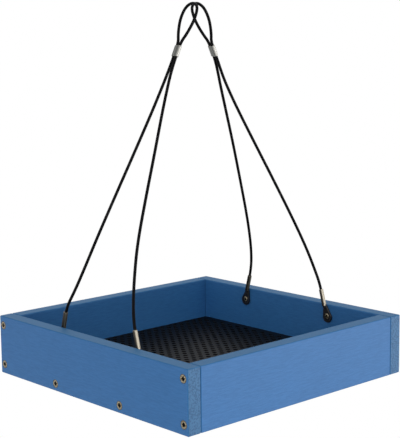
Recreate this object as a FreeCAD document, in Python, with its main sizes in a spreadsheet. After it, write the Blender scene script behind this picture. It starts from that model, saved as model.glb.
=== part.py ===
import FreeCAD, Part
import math
import os

import Sketcher

# Hanging platform bird feeder: a square open tray of blue boards with a
# perforated floor, hung from two black cables that each end in a crimped loop.
# The frame's origin is the hook's seat under the tops of the two loops, with
# +Z up, the side boards along Y and the front and back boards along X.

V = FreeCAD.Vector

# Driving sizes in millimetres and degrees
SIZES = {
    # Tray
    "hang_height": 392.0,
    "tray_width": 305.0,
    "tray_length": 305.0,
    "tray_height": 63.5,
    "board_thickness": 15.9,
    "board_edge_round": 1.2,
    "butt_gap": 0.05,
    # Cross bars under the floor
    "bar_height": 15.9,
    "bar_width": 19.0,
    "bar_spread": 105.0,
    "bar_edge_round": 1.0,
    # Perforated floor
    "floor_thickness": 1.5,
    "floor_clearance": 0.9,
    "floor_corner_round": 3.0,
    "floor_hole_diameter": 16.0,
    "floor_hole_pitch": 24.5,
    "floor_hole_border": 4.0,
    # Countersunk wood screws
    "screw_shank_diameter": 4.2,
    "screw_length": 38.0,
    "screw_point_length": 5.0,
    "flat_head_diameter": 8.6,
    "flat_head_angle": 90.0,
    "flat_head_rim": 0.15,
    "flat_head_sink": 0.15,
    "screw_clearance": 0.05,
    "pilot_spare": 1.0,
    "recess_width": 1.1,
    "recess_reach": 4.8,
    "recess_depth": 1.7,
    "corner_screw_inset": 6.5,
    "corner_screw_rise": 10.3,
    "corner_screw_drop": 10.0,
    "bar_screw_height": 7.8,
    # Cable eyes and their round-head screws
    "eye_spread": 128.5,
    "eye_height": 50.1,
    "eye_lean": 15.3,
    "eye_ring_diameter": 12.4,
    "eye_ring_drop": 1.0,
    "eye_thickness": 2.2,
    "eye_web": 0.7,
    "eye_neck_width": 4.6,
    "eye_neck_start": 5.0,
    "eye_collar_diameter": 4.4,
    "eye_reach": 11.8,
    "eye_edge_round": 0.6,
    "eye_shank_grip": 8.0,
    "eye_hole_clearance": 0.2,
    "eye_screw_diameter": 3.5,
    "eye_screw_length": 12.5,
    "eye_screw_point": 4.0,
    "round_head_diameter": 6.6,
    "round_head_height": 1.7,
    "round_head_round": 1.2,
    "round_recess_reach": 3.6,
    "round_recess_depth": 1.3,
    # Crimp sleeves above the eyes
    "sleeve_diameter": 4.8,
    "sleeve_length": 18.8,
    "sleeve_wall_gap": 0.2,
    "sleeve_edge": 0.3,
    # Cables
    "cable_diameter": 3.2,
    "crimp_clearance": 0.05,
    # Loop ferrules
    "ferrule_width": 8.8,
    "ferrule_thickness": 5.2,
    "ferrule_length": 12.0,
    "ferrule_middle_facet": 2.0,
    "ferrule_end_facet": 1.9,
    "ferrule_shoulder": 4.3,
    "ferrule_edge": 0.35,
    "strand_spacing": 3.6,
    "loop_lean": 25.5,
    "loop_reach": 54.1,
    "loop_half_gap": 2.3,
}

# Half of each cable's route, from inside its back sleeve up the leg, through
# the loop ferrule and round to the loop's top; the other half mirrors it in Y.
# The left cable's points are given on the right and mirrored in X.
RIGHT_LEG = [
    (134.0, 58.6, -321.3),
    (134.0, 54.9, -307.5),
    (130.6, 49.7, -290.0),
    (123.2, 44.1, -266.0),
    (110.2, 36.8, -234.0),
    (91.0, 27.4, -192.0),
    (70.8, 17.6, -149.0),
    (51.6, 9.2, -109.0),
    (39.9, 4.6, -83.0),
    (35.0, 2.8, -70.0),
]
LEFT_LEG = [
    (134.0, 58.6, -321.3),
    (134.0, 54.9, -307.5),
    (128.4, 47.4, -290.0),
    (120.4, 40.0, -266.0),
    (109.0, 32.0, -234.0),
    (90.6, 23.8, -192.0),
    (71.2, 15.8, -149.0),
    (53.6, 8.2, -109.0),
    (42.2, 4.2, -83.0),
    (36.4, 2.6, -70.0),
]
LOOP = [
    (30.1, 1.8, -56.7),
    (21.3, 1.8, -38.2),
    (17.8, 6.0, -30.9),
    (13.9, 9.1, -22.8),
    (10.3, 10.9, -15.1),
    (6.5, 10.6, -7.2),
    (3.9, 8.4, -1.8),
    (2.3, 3.3, 1.6),
]

# Share of the shorter straight run that a corner's arc takes up
ARC_SHARE = 0.45

# Edges nearer than this to a level lie in it
SAME_LEVEL = 0.001

# Directions that pieces are turned about and mirrored along
LEFT_RIGHT = V(1, 0, 0)
FRONT_BACK = V(0, 1, 0)
UP_DOWN = V(0, 0, 1)

# Expressions that several pieces share
BORE = "Sizes.screw_shank_diameter + 2 * Sizes.screw_clearance"
EYE_BORE = "Sizes.eye_screw_diameter + 2 * Sizes.screw_clearance"
SUNK = (
    "Sizes.flat_head_diameter + 2 * Sizes.screw_clearance"
    " + 2 * (Sizes.flat_head_sink + Sizes.flat_head_rim)"
    " * tan(Sizes.flat_head_angle / 2 * 1 deg)"
)
INNER_FACE = "(Sizes.tray_width / 2 - Sizes.board_thickness)"
OUTER_FACE = "(Sizes.tray_width / 2)"
SPAN = "(Sizes.tray_width - 2 * Sizes.board_thickness - 2 * Sizes.butt_gap)"
CORNER_Y = "(Sizes.tray_length / 2 - Sizes.corner_screw_inset)"
CORNER_LOW = "Sizes.corner_screw_rise"
CORNER_HIGH = "(Sizes.tray_height - Sizes.corner_screw_drop)"
SCREW_REACH = (
    "(Sizes.screw_length + Sizes.flat_head_sink - Sizes.board_thickness"
    " - Sizes.butt_gap)"
)
SLEEVE_OFFSET = "(Sizes.sleeve_diameter / 2 + Sizes.sleeve_wall_gap)"

doc = FreeCAD.newDocument("platform_feeder")
sheet = doc.addObject("Spreadsheet::Sheet", "Sizes")


def fill_sheet():
    """Write each driving size into its own named cell"""
    for row, (alias, value) in enumerate(SIZES.items(), start=1):
        sheet.set(f"A{row}", alias.replace("_", " "))
        sheet.set(f"B{row}", str(value))
        sheet.setAlias(f"B{row}", alias)
    doc.recompute()


def value_of(expression):
    """Number that an expression on the sheet gives now"""
    result = sheet.evalExpression(expression)
    return float(getattr(result, "Value", result))


def bind(item, bindings):
    """Tie properties of an object to expressions on the sheet"""
    for path, expression in bindings.items():
        item.setExpression(path, expression)


def new_body(label, x="0", y="0", z="0", axis=None, angle="0"):
    """Body placed by expressions, z counted from the tray's underside"""
    body = doc.addObject("PartDesign::Body", label)
    body.Label = label
    if axis is not None:
        turn = FreeCAD.Rotation(axis, value_of(angle))
        body.Placement = FreeCAD.Placement(V(), turn)
        body.setExpression("Placement.Rotation.Angle", angle)
    bind(body, {
        "Placement.Base.x": x,
        "Placement.Base.y": y,
        "Placement.Base.z": f"{z} - Sizes.hang_height",
    })
    return body


def new_sketch(body, name, role, offset="0"):
    """Sketch on one of the body's own planes, moved along its normal"""
    planes = body.Origin.OriginFeatures
    plane = next(item for item in planes if item.Role == role)
    sketch = body.newObject("Sketcher::SketchObject", name)
    sketch.AttachmentSupport = [(plane, "")]
    sketch.MapMode = "FlatFace"
    sketch.setExpression("AttachmentOffset.Base.z", offset)
    return sketch


def drive(sketch, kind, where, expression):
    """Add one sketch dimension and tie it to the sheet"""
    constraint = Sketcher.Constraint(kind, *where, value_of(expression))
    index = sketch.addConstraint(constraint)
    sketch.setExpression(f"Constraints[{index}]", expression)


def add_polygon(sketch, corners):
    """Closed outline whose corners are pairs of expressions"""
    points = [V(value_of(x), value_of(y), 0) for x, y in corners]
    first = sketch.GeometryCount
    count = len(points)
    for i in range(count):
        line = Part.LineSegment(points[i], points[(i + 1) % count])
        sketch.addGeometry(line)
    for i in range(count):
        ends = (first + i, 2, first + (i + 1) % count, 1)
        sketch.addConstraint(Sketcher.Constraint("Coincident", *ends))
    for i, (x, y) in enumerate(corners):
        drive(sketch, "DistanceX", (-1, 1, first + i, 1), x)
        drive(sketch, "DistanceY", (-1, 1, first + i, 1), y)


def add_rectangle(sketch, width, height):
    """Rectangle centred on the sketch's origin"""
    add_polygon(sketch, [
        (f"-({width}) / 2", f"-({height}) / 2"),
        (f"({width}) / 2", f"-({height}) / 2"),
        (f"({width}) / 2", f"({height}) / 2"),
        (f"-({width}) / 2", f"({height}) / 2"),
    ])


def add_circle(sketch, x, y, diameter):
    """Circle placed and sized by expressions"""
    centre = V(value_of(x), value_of(y), 0)
    circle = Part.Circle(centre, V(0, 0, 1), value_of(diameter) / 2)
    index = sketch.addGeometry(circle)
    drive(sketch, "DistanceX", (-1, 1, index, 3), x)
    drive(sketch, "DistanceY", (-1, 1, index, 3), y)
    drive(sketch, "Diameter", (index,), diameter)


def pad(body, sketch, name, length, reverse=False):
    """Boss of a sketch's outline"""
    feature = body.newObject("PartDesign::Pad", name)
    feature.Profile = sketch
    feature.Reversed = reverse
    feature.setExpression("Length", length)
    return feature


def cut_through(body, sketch, name):
    """Opening right through the body both ways from its sketch"""
    feature = body.newObject("PartDesign::Pocket", name)
    feature.Profile = sketch
    feature.Type = "ThroughAll"
    feature.SideType = "Symmetric"
    return feature


def ease_edges(body, base, radius):
    """Round every edge of a feature"""
    feature = body.newObject("PartDesign::Fillet", "EasedEdges")
    feature.Base = (base, ["Edge1"])
    feature.UseAllEdges = True
    feature.setExpression("Radius", radius)
    return feature


def bevel_edges(body, base, size):
    """Small bevel on every edge of a feature"""
    feature = body.newObject("PartDesign::Chamfer", "Bevels")
    feature.Base = (base, ["Edge1"])
    feature.UseAllEdges = True
    feature.setExpression("Size", size)
    return feature


def drill(body, sketch, name, bore, depth=None, reverse=False):
    """Screw holes at a sketch's circles, blind with a drill point or sunk"""
    doc.recompute()
    hole = body.newObject("PartDesign::Hole", name)
    hole.Profile = sketch
    doc.recompute()
    hole.Reversed = reverse
    hole.setExpression("Diameter", bore)
    if depth is not None:
        hole.DepthType = "Dimension"
        hole.setExpression("Depth", depth)
        hole.DrillPoint = "Angled"
        return hole
    hole.DepthType = "ThroughAll"
    hole.HoleCutType = "Countersink"
    hole.HoleCutCustomValues = True
    bind(hole, {
        "HoleCutDiameter": SUNK,
        "HoleCutCountersinkAngle": "Sizes.flat_head_angle",
    })
    return hole


def mirror(source, label, normal, z="0"):
    """Mirror image of a piece in a plane through the given height"""
    copy = doc.addObject("Part::Mirroring", label)
    copy.Label = label
    copy.Source = source
    copy.Normal = normal
    copy.setExpression("Base.z", z)
    return copy


def mirrored_group(master, label, planes):
    """One node of like pieces, doubled in each plane in turn"""
    pieces = [master]
    for normal, z in planes:
        copies = []
        for piece in pieces:
            name = f"{master.Name}_{len(pieces) + len(copies)}"
            copies.append(mirror(piece, name, normal, z))
        pieces = pieces + copies
    group = doc.addObject("Part::Compound", label)
    group.Label = label
    group.Links = pieces
    return group


def make_side_boards():
    """Full-length boards that cap the ends of the other two"""
    body = new_body(
        "right_board",
        x="Sizes.tray_width / 2 - Sizes.board_thickness / 2",
    )
    outline = new_sketch(body, "BoardOutline", "XY_Plane")
    add_rectangle(outline, "Sizes.board_thickness", "Sizes.tray_length")
    board = pad(body, outline, "Board", "Sizes.tray_height")
    ease_edges(body, board, "Sizes.board_edge_round")

    outside = "Sizes.board_thickness / 2"
    sunk = new_sketch(body, "SunkHoles", "YZ_Plane", outside)
    for side in ("-", ""):
        for height in (CORNER_LOW, CORNER_HIGH):
            add_circle(sunk, f"{side}{CORNER_Y}", height, BORE)
        add_circle(sunk, f"{side}Sizes.bar_spread / 2", "Sizes.bar_screw_height", BORE)
    drill(body, sunk, "ScrewHoles", BORE)

    pilots = new_sketch(body, "EyePilots", "YZ_Plane", f"-({outside})")
    for side in ("-", ""):
        centre = f"{side}Sizes.eye_spread / 2"
        add_circle(pilots, centre, "Sizes.eye_height", EYE_BORE)
    depth = "Sizes.eye_screw_length - Sizes.eye_web + Sizes.pilot_spare"
    drill(body, pilots, "EyePilotHoles", EYE_BORE, depth, reverse=True)
    return [body, mirror(body, "left_board", LEFT_RIGHT)]


def add_end_pilots(body, heights, y="0"):
    """Blind holes in both ends of a piece that lies along X"""
    for side, reverse in (("", False), ("-", True)):
        name = "LeftEnd" if reverse else "RightEnd"
        ends = new_sketch(body, name, "YZ_Plane", f"{side}({SPAN}) / 2")
        for height in heights:
            add_circle(ends, y, height, BORE)
        depth = f"{SCREW_REACH} + Sizes.pilot_spare"
        drill(body, ends, f"{name}Pilots", BORE, depth, reverse)


def make_end_boards():
    """Shorter boards held between the side boards"""
    centre = "(Sizes.tray_length / 2 - Sizes.board_thickness / 2)"
    body = new_body("back_board", y=centre)
    outline = new_sketch(body, "BoardOutline", "XY_Plane")
    add_rectangle(outline, SPAN, "Sizes.board_thickness")
    board = pad(body, outline, "Board", "Sizes.tray_height")
    ease_edges(body, board, "Sizes.board_edge_round")
    add_end_pilots(body, (CORNER_LOW, CORNER_HIGH), y=f"{CORNER_Y} - {centre}")
    return [body, mirror(body, "front_board", FRONT_BACK)]


def make_cross_bars():
    """Square bars between the side boards, under the floor"""
    body = new_body("back_cross_bar", y="Sizes.bar_spread / 2")
    outline = new_sketch(body, "BarOutline", "XY_Plane")
    add_rectangle(outline, SPAN, "Sizes.bar_width")
    bar = pad(body, outline, "Bar", "Sizes.bar_height")
    ease_edges(body, bar, "Sizes.bar_edge_round")
    add_end_pilots(body, ("Sizes.bar_screw_height",))
    return [body, mirror(body, "front_cross_bar", FRONT_BACK)]


def make_floor():
    """Perforated sheet laid on the bars, its holes in staggered rows"""
    body = new_body("floor_screen", z="Sizes.bar_height")
    outline = new_sketch(body, "SheetOutline", "XY_Plane")
    walls = "2 * (Sizes.board_thickness + Sizes.floor_clearance)"
    width = f"(Sizes.tray_width - {walls})"
    length = f"(Sizes.tray_length - {walls})"
    add_rectangle(outline, width, length)
    plate = pad(body, outline, "Sheet", "Sizes.floor_thickness")
    doc.recompute()
    corners = body.newObject("PartDesign::Fillet", "SheetCorners")
    upright = [
        f"Edge{i}"
        for i, edge in enumerate(plate.Shape.Edges, start=1)
        if edge.BoundBox.ZLength > SIZES["floor_thickness"] / 2
    ]
    corners.Base = (plate, upright)
    corners.setExpression("Radius", "Sizes.floor_corner_round")

    # Each second row starts half a pitch on, and the outer holes keep a border
    diameter = "Sizes.floor_hole_diameter"
    pitch = "Sizes.floor_hole_pitch"
    row_pair = f"({pitch} * sqrt(3))"
    margins = f"({diameter} + 2 * Sizes.floor_hole_border)"
    columns = f"floor(({width} - {margins}) / {pitch} + 0.5)"
    pairs = f"floor(({length} - {margins}) / {row_pair} + 0.5)"
    first_x = f"-({columns} - 0.5) * {pitch} / 2"
    first_y = f"-({pairs} - 0.5) * {row_pair} / 2"
    holes = new_sketch(body, "FirstHoles", "XY_Plane")
    add_circle(holes, first_x, first_y, diameter)
    add_circle(
        holes,
        f"{first_x} + {pitch} / 2",
        f"{first_y} + {row_pair} / 2",
        diameter,
    )
    punched = cut_through(body, holes, "PunchedHoles")
    field = body.newObject("PartDesign::LinearPattern", "HoleField")
    field.Originals = [punched]
    field.Direction = (holes, ["H_Axis"])
    field.Direction2 = (holes, ["V_Axis"])
    bind(field, {
        "Length": f"({columns} - 1) * {pitch}",
        "Occurrences": columns,
        "Length2": f"({pairs} - 1) * {row_pair}",
        "Occurrences2": pairs,
    })
    body.Tip = field
    return [body]


def add_cross_recess(body, reach, depth):
    """Cross slot in a screw head whose top lies in the XY plane"""
    slot = new_sketch(body, "Slot", "XY_Plane")
    add_rectangle(slot, reach, "Sizes.recess_width")
    arm = body.newObject("PartDesign::Pocket", "SlotArm")
    arm.Profile = slot
    arm.setExpression("Length", depth)
    cross = body.newObject("PartDesign::PolarPattern", "CrossRecess")
    cross.Originals = [arm]
    cross.Axis = (slot, ["N_Axis"])
    cross.Angle = 90
    cross.Occurrences = 2
    body.Tip = cross


def revolve_profile(body, corners):
    """Turned piece from half its outline, radius against height"""
    profile = new_sketch(body, "Profile", "XZ_Plane")
    add_polygon(profile, corners)
    turned = body.newObject("PartDesign::Revolution", "Turned")
    turned.Profile = profile
    turned.ReferenceAxis = (profile, ["V_Axis"])
    turned.Angle = 360
    return turned


def flat_head_screw(label, y, z):
    """Countersunk screw driven into the right board from outside"""
    body = new_body(
        label,
        x=f"{OUTER_FACE} - Sizes.flat_head_sink",
        y=y,
        z=z,
        axis=FRONT_BACK,
        angle="90",
    )
    head = "Sizes.flat_head_diameter / 2"
    shank = "Sizes.screw_shank_diameter / 2"
    cone = f"({head} - {shank}) / tan(Sizes.flat_head_angle / 2 * 1 deg)"
    revolve_profile(body, [
        ("0", "0"),
        (head, "0"),
        (head, "-Sizes.flat_head_rim"),
        (shank, f"-Sizes.flat_head_rim - {cone}"),
        (shank, "-Sizes.screw_length + Sizes.screw_point_length"),
        ("0", "-Sizes.screw_length"),
    ])
    add_cross_recess(body, "Sizes.recess_reach", "Sizes.recess_depth")
    return body


def make_flat_head_screws():
    """Screws through the side boards into the end boards and the bars"""
    middle = f"({CORNER_LOW} + {CORNER_HIGH}) / 2"
    corner = flat_head_screw("corner_screw", CORNER_Y, CORNER_HIGH)
    corner_group = mirrored_group(corner, "corner_screws", [
        (UP_DOWN, f"{middle} - Sizes.hang_height"),
        (FRONT_BACK, "0"),
        (LEFT_RIGHT, "0"),
    ])
    bar = flat_head_screw("bar_screw", "Sizes.bar_spread / 2", "Sizes.bar_screw_height")
    bar_group = mirrored_group(bar, "cross_bar_screws", [
        (FRONT_BACK, "0"),
        (LEFT_RIGHT, "0"),
    ])
    return [corner_group, bar_group]


def make_eye_screws():
    """Round-head screws whose heads sit in the eyes' recesses"""
    body = new_body(
        "eye_screw",
        x=f"{INNER_FACE} - Sizes.eye_web - Sizes.round_head_height",
        y="Sizes.eye_spread / 2",
        z="Sizes.eye_height",
        axis=FRONT_BACK,
        angle="-90",
    )
    head = "Sizes.round_head_diameter / 2"
    shank = "Sizes.eye_screw_diameter / 2"
    bottom = "-Sizes.round_head_height - Sizes.eye_screw_length"
    turned = revolve_profile(body, [
        ("0", "0"),
        (head, "0"),
        (head, "-Sizes.round_head_height"),
        (shank, "-Sizes.round_head_height"),
        (shank, f"{bottom} + Sizes.eye_screw_point"),
        ("0", bottom),
    ])
    doc.recompute()
    rim = [
        f"Edge{i}"
        for i, edge in enumerate(turned.Shape.Edges, start=1)
        if edge.BoundBox.ZLength < SAME_LEVEL
        and abs(edge.BoundBox.ZMax) < SAME_LEVEL
        and edge.BoundBox.XLength > value_of(head)
    ]
    dome = body.newObject("PartDesign::Fillet", "DomedHead")
    dome.Base = (turned, rim)
    dome.setExpression("Radius", "Sizes.round_head_round")
    add_cross_recess(body, "Sizes.round_recess_reach", "Sizes.round_recess_depth")
    return [mirrored_group(body, "eye_screws", [(FRONT_BACK, "0"), (LEFT_RIGHT, "0")])]


def four_corners(body, name):
    """Label a piece at the right back and mirror it to the other corners"""
    body.Label = f"right_back_{name}"
    right_front = mirror(body, f"right_front_{name}", FRONT_BACK)
    left_back = mirror(body, f"left_back_{name}", LEFT_RIGHT)
    left_front = mirror(right_front, f"left_front_{name}", LEFT_RIGHT)
    return [body, right_front, left_back, left_front]


def eye_body(name):
    """Body whose origin is on the board under the eye's screw, leaned in"""
    return new_body(
        name,
        x=INNER_FACE,
        y="Sizes.eye_spread / 2",
        z="Sizes.eye_height",
        axis=LEFT_RIGHT,
        angle="Sizes.eye_lean",
    )


def add_teardrop(sketch, diameter, drop, width, height):
    """Round end whose centre hangs below the origin, tangent up to a neck"""
    radius = value_of(diameter) / 2
    low = -value_of(drop)
    half = value_of(width) / 2
    top = value_of(height)
    rise = top - low
    touch = math.atan2(rise, half) - math.acos(radius / math.hypot(rise, half))
    right = V(radius * math.cos(touch), low + radius * math.sin(touch), 0)
    left = V(-right.x, right.y, 0)
    circle = Part.Circle(V(0, low, 0), V(0, 0, 1), radius)
    sketch.addGeometry([
        Part.ArcOfCircle(circle, math.pi - touch, 2 * math.pi + touch),
        Part.LineSegment(right, V(half, top, 0)),
        Part.LineSegment(V(half, top, 0), V(-half, top, 0)),
        Part.LineSegment(V(-half, top, 0), left),
    ])
    arc, right_side, neck, left_side = range(4)
    for constraint in (
        Sketcher.Constraint("PointOnObject", arc, 3, -2),
        Sketcher.Constraint("Tangent", arc, 2, right_side, 1),
        Sketcher.Constraint("Coincident", right_side, 2, neck, 1),
        Sketcher.Constraint("Coincident", neck, 2, left_side, 1),
        Sketcher.Constraint("Tangent", left_side, 2, arc, 1),
        Sketcher.Constraint("Symmetric", neck, 1, neck, 2, -2),
    ):
        sketch.addConstraint(constraint)
    drive(sketch, "DistanceY", (arc, 3, -1, 1), drop)
    drive(sketch, "Diameter", (arc,), diameter)
    drive(sketch, "DistanceX", (neck, 2, neck, 1), width)
    drive(sketch, "DistanceY", (-1, 1, neck, 1), height)


def make_eyes():
    """Black eyes: a teardrop recessed for its screw, necked to a round shank"""
    body = eye_body("cable_eye")
    outline = new_sketch(body, "Teardrop", "YZ_Plane")
    add_teardrop(
        outline,
        "Sizes.eye_ring_diameter",
        "Sizes.eye_ring_drop",
        "Sizes.eye_neck_width",
        "Sizes.eye_reach",
    )
    plate = pad(body, outline, "Plate", "Sizes.eye_thickness", reverse=True)
    ease_edges(body, plate, "Sizes.eye_edge_round")

    foot = new_sketch(body, "NeckFoot", "XY_Plane", "Sizes.eye_neck_start")
    middle = "-Sizes.eye_thickness / 2"
    deep = "(Sizes.eye_thickness / 2 - Sizes.eye_edge_round)"
    wide = "Sizes.eye_neck_width / 2"
    add_polygon(foot, [
        (f"{middle} - {deep}", f"-{wide}"),
        (f"{middle} + {deep}", f"-{wide}"),
        (f"{middle} + {deep}", wide),
        (f"{middle} - {deep}", wide),
    ])
    collar = new_sketch(body, "Collar", "XY_Plane", "Sizes.eye_reach")
    add_circle(collar, f"-{SLEEVE_OFFSET}", "0", "Sizes.eye_collar_diameter")
    neck = body.newObject("PartDesign::AdditiveLoft", "Neck")
    neck.Profile = foot
    neck.Sections = [collar]
    neck.Ruled = True
    root = new_sketch(body, "ShankRoot", "XY_Plane", "Sizes.eye_reach")
    add_circle(root, f"-{SLEEVE_OFFSET}", "0", "Sizes.cable_diameter")
    pad(body, root, "Shank", "Sizes.eye_shank_grip")

    seat = new_sketch(body, "HeadSeat", "YZ_Plane", "-Sizes.eye_thickness")
    clearance = "2 * Sizes.eye_hole_clearance"
    add_circle(seat, "0", "0", f"Sizes.round_head_diameter + {clearance}")
    recess = body.newObject("PartDesign::Pocket", "HeadRecess")
    recess.Profile = seat
    recess.Reversed = True
    recess.setExpression("Length", "Sizes.eye_thickness - Sizes.eye_web")
    opening = new_sketch(body, "ScrewHole", "YZ_Plane")
    add_circle(opening, "0", "0", f"Sizes.eye_screw_diameter + {clearance}")
    cut_through(body, opening, "HoleCut")
    return four_corners(body, "cable_eye")


def make_sleeves():
    """Plain crimp tubes that join each eye's shank to its cable"""
    body = eye_body("cable_sleeve")
    outline = new_sketch(body, "TubeOutline", "XY_Plane", "Sizes.eye_reach")
    add_circle(outline, f"-{SLEEVE_OFFSET}", "0", "Sizes.sleeve_diameter")
    tube = pad(body, outline, "Tube", "Sizes.sleeve_length")
    bevel_edges(body, tube, "Sizes.sleeve_edge")
    bore = new_sketch(body, "Bore", "XY_Plane")
    bore_size = "Sizes.cable_diameter + 2 * Sizes.crimp_clearance"
    add_circle(bore, f"-{SLEEVE_OFFSET}", "0", bore_size)
    cut_through(body, bore, "BoreCut")
    return four_corners(body, "cable_sleeve")


def make_loop_ferrules():
    """Faceted double-barrel ferrules that close the hanging loops"""
    body = new_body(
        "right_loop_ferrule",
        x="Sizes.loop_half_gap + Sizes.loop_reach * sin(Sizes.loop_lean * 1 deg)",
        z=(
            "Sizes.hang_height + Sizes.cable_diameter / 2"
            " - Sizes.loop_reach * cos(Sizes.loop_lean * 1 deg)"
        ),
        axis=FRONT_BACK,
        angle="-Sizes.loop_lean",
    )
    bottom = "-Sizes.ferrule_length / 2"
    outline = new_sketch(body, "FacetOutline", "XY_Plane", bottom)
    wide = "Sizes.ferrule_width / 2"
    thick = "Sizes.ferrule_thickness / 2"
    flat = "Sizes.strand_spacing / 2"
    quarter = [
        (thick, "Sizes.ferrule_middle_facet / 2"),
        ("Sizes.ferrule_shoulder / 2", f"({flat} + {wide}) / 2"),
        ("Sizes.ferrule_end_facet / 2", wide),
    ]
    half = quarter + [(f"-({x})", y) for x, y in reversed(quarter)]
    other = [(f"-({x})", f"-({y})") for x, y in half]
    add_polygon(outline, half + other)
    block = pad(body, outline, "Block", "Sizes.ferrule_length")
    bevel_edges(body, block, "Sizes.ferrule_edge")
    bores = new_sketch(body, "StrandBores", "XY_Plane")
    bore_size = "Sizes.cable_diameter + 2 * Sizes.crimp_clearance"
    for side in ("-", ""):
        add_circle(bores, "0", f"{side}Sizes.strand_spacing / 2", bore_size)
    cut_through(body, bores, "StrandCuts")
    return [body, mirror(body, "left_loop_ferrule", LEFT_RIGHT)]


def bent_path(label, points):
    """Straight runs joined by tangent arcs, and the path's length"""
    edges = []
    radii = []
    start = points[0]
    for before, corner, after in zip(points, points[1:], points[2:]):
        arriving = corner - before
        leaving = after - corner
        shorter = min(arriving.Length, leaving.Length)
        reach = ARC_SHARE * shorter
        turn = arriving.getAngle(leaving)
        radii.append(reach / math.tan(turn / 2))
        arriving.normalize()
        leaving.normalize()
        first = corner - arriving * reach
        last = corner + leaving * reach
        bulge = (first + last) / 2 - corner
        centre_distance = radii[-1] / math.cos(turn / 2)
        bulge.normalize()
        middle = corner + bulge * (centre_distance - radii[-1])
        edges.append(Part.LineSegment(start, first).toShape())
        edges.append(Part.Arc(first, middle, last).toShape())
        start = last
    edges.append(Part.LineSegment(start, points[-1]).toShape())
    wire = Part.Wire(edges)
    rounded = ", ".join(f"{radius:.0f}" for radius in radii)
    print(f"{label}: length {wire.Length:.1f} mm, arc radii {rounded} mm")
    return wire


def make_cable(label, side, leg):
    """One cable from its back sleeve over the loop to its front sleeve"""
    half = [V(side * x, y, z) for x, y, z in leg + LOOP]
    points = half + [V(p.x, -p.y, p.z) for p in reversed(half)]
    path = bent_path(label, points)
    radius = SIZES["cable_diameter"] / 2
    section = Part.Wire(Part.Circle(points[0], points[1] - points[0], radius).toShape())
    solid = path.makePipeShell([section], True, False)
    expected = math.pi * radius**2 * path.Length
    print(f"{label}: volume is {solid.Volume / expected:.4f} of section by length")
    cable = doc.addObject("Part::Feature", label)
    cable.Label = label
    cable.Shape = solid
    return cable


def check_model(pieces):
    """Stop if an object failed or a piece has no sound solid"""
    for item in doc.Objects:
        bad = [state for state in item.State if state in ("Invalid", "Error")]
        if bad:
            raise RuntimeError(f"{item.Label} failed: {bad}")
    for piece in pieces:
        shape = piece.Shape
        if shape.isNull() or not shape.isValid() or not shape.Solids:
            raise RuntimeError(f"{piece.Label} has no sound solid")
        if shape.Volume <= 0:
            raise RuntimeError(f"{piece.Label} is inside out")


def main():
    """Build the feeder and write one file for each node"""
    fill_sheet()
    pieces = make_side_boards() + make_end_boards() + make_cross_bars()
    pieces += make_floor()
    pieces += make_flat_head_screws() + make_eye_screws()
    pieces += make_eyes() + make_sleeves() + make_loop_ferrules()
    pieces.append(make_cable("right_cable", 1, RIGHT_LEG))
    pieces.append(make_cable("left_cable", -1, LEFT_LEG))
    doc.recompute()
    check_model(pieces)
    os.makedirs("parts", exist_ok=True)
    for piece in pieces:
        piece.Shape.exportStep(f"parts/{piece.Label}.step")
        box = piece.Shape.BoundBox
        print(
            f"{piece.Label}: {len(piece.Shape.Solids)} solid(s), "
            f"{box.XLength:.1f} x {box.YLength:.1f} x {box.ZLength:.1f} mm"
        )


main()
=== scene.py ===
"""Finishes for the hanging platform bird feeder: blue recycled-plastic boards, a
punched black floor, coated cables with crimped fittings, and a pale studio."""

import math

import bmesh
import bpy
from bpy.props import FloatProperty, FloatVectorProperty, IntProperty, PointerProperty
from mathutils import Matrix, Quaternion, Vector


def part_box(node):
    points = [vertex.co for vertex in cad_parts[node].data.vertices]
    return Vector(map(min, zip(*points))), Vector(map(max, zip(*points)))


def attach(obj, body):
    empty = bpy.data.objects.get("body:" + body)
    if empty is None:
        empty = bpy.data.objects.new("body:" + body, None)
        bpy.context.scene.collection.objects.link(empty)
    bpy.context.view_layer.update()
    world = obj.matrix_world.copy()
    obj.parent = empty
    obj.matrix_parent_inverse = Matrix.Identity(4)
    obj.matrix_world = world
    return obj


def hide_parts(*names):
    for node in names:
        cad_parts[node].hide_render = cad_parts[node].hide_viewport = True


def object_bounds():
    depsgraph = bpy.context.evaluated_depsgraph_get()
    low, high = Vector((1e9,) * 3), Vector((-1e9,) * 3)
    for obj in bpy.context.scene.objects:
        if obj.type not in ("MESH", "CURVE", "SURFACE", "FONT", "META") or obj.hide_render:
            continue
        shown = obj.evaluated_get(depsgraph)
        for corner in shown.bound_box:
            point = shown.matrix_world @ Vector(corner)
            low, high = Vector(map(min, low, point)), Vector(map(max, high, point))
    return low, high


bl_info = {
    "name": "Platform bird feeder",
    "version": (1, 0, 0),
    "blender": (4, 5, 0),
    "location": "3D View > Sidebar > Feeder",
    "description": "Builds the finishes and the studio of a hanging platform feeder",
    "category": "Object",
}

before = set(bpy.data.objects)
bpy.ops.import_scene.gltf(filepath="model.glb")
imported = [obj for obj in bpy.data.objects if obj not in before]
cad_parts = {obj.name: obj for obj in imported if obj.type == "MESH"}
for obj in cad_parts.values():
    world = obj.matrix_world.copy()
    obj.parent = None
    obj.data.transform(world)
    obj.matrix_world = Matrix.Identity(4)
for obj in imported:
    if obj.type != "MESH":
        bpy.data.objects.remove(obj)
CAD_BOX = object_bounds()

MM = 0.001

# Nodes by the way their boards run
BOARDS_ALONG_Y = ("left_board", "right_board")
BOARDS_ALONG_X = ("front_board", "back_board", "front_cross_bar", "back_cross_bar")
SIDES = ("left", "right")
ENDS = ("front", "back")

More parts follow.
